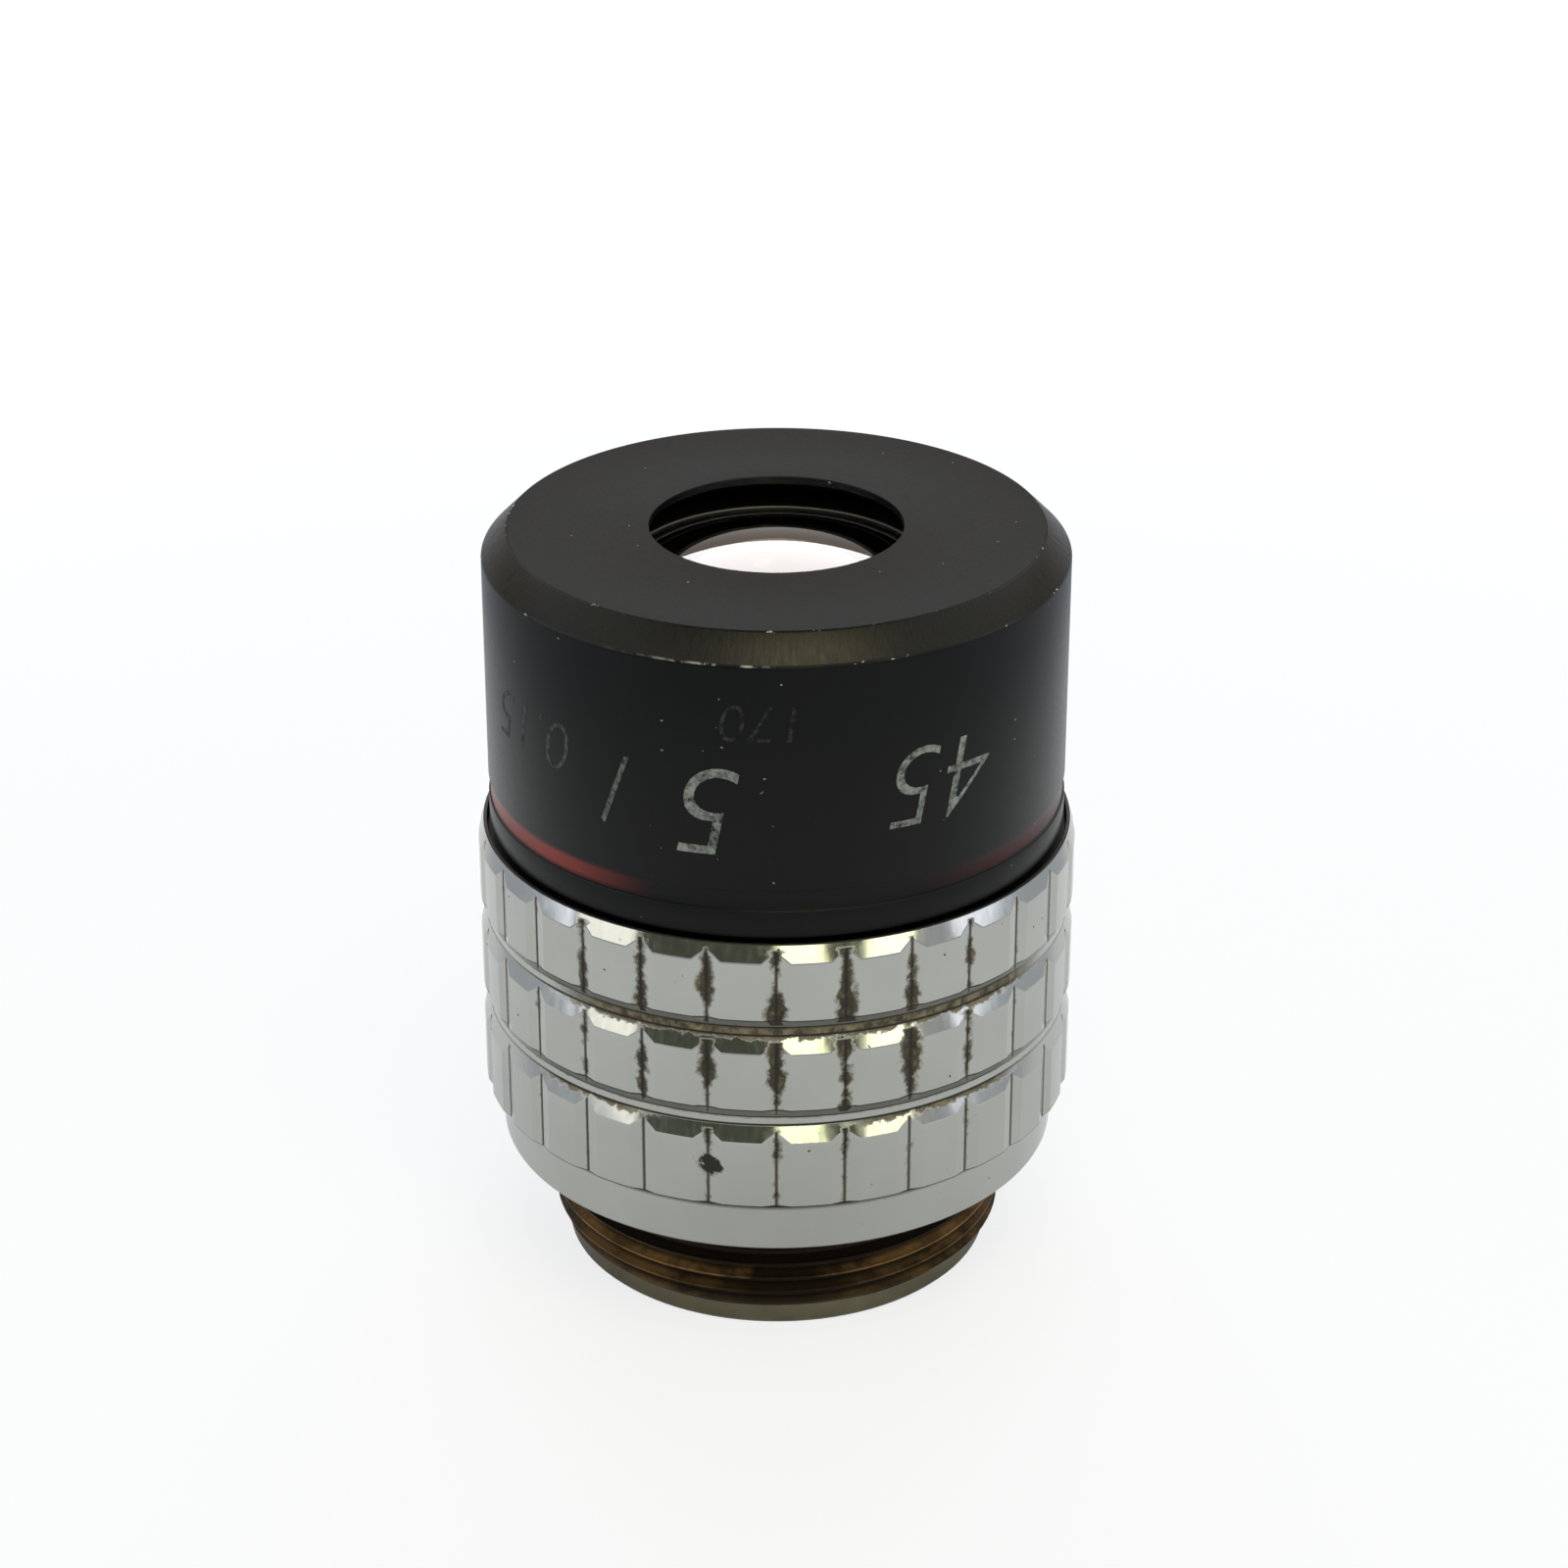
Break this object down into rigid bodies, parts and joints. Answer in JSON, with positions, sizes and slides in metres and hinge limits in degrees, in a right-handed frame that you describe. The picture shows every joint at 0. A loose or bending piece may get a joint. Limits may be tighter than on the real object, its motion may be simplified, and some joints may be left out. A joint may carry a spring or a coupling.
{
  "type": "microscope objective",
  "caption": "Low-power microscope objective: black nose sleeve with a front lens over a chrome knurled grip, a seating shoulder and a fine screw thread at the rear.",
  "frame": {"origin": "centre of the rear rim, on the plane that the part stands on", "axes": "+Z along the optical axis, from the threaded rear end towards the front lens"},
  "size_m": [0.0264, 0.0264, 0.0343],
  "materials": {
    "chrome_plate": "satin chrome plate on brass",
    "black_anodised": "matte black anodised",
    "black_brass": "chemically blackened, matte",
    "brass": "turned, bare",
    "glass": "polished and coated"
  },
  "bodies": {
    "root": {"grip_body": "chrome_plate", "front_sleeve": "black_anodised", "lens_barrel": "black_brass", "parfocal_shim": "brass", "barrel_lock_ring": "black_brass", "stack_lock_ring": "black_brass", "front_lens": "glass", "front_cell": "black_brass", "front_lens_ring": "black_brass", "doublet_cell": "black_brass", "doublet_crown": "glass", "doublet_flint": "glass", "doublet_ring": "black_brass", "front_spacer": "black_brass", "aperture_stop": "black_brass", "middle_cell": "black_brass", "middle_lens": "glass", "middle_ring": "black_brass", "rear_spacer": "black_brass", "rear_cell": "black_brass", "rear_crown": "glass", "rear_flint": "glass", "rear_ring": "black_brass"}
  },
  "joints": []
}
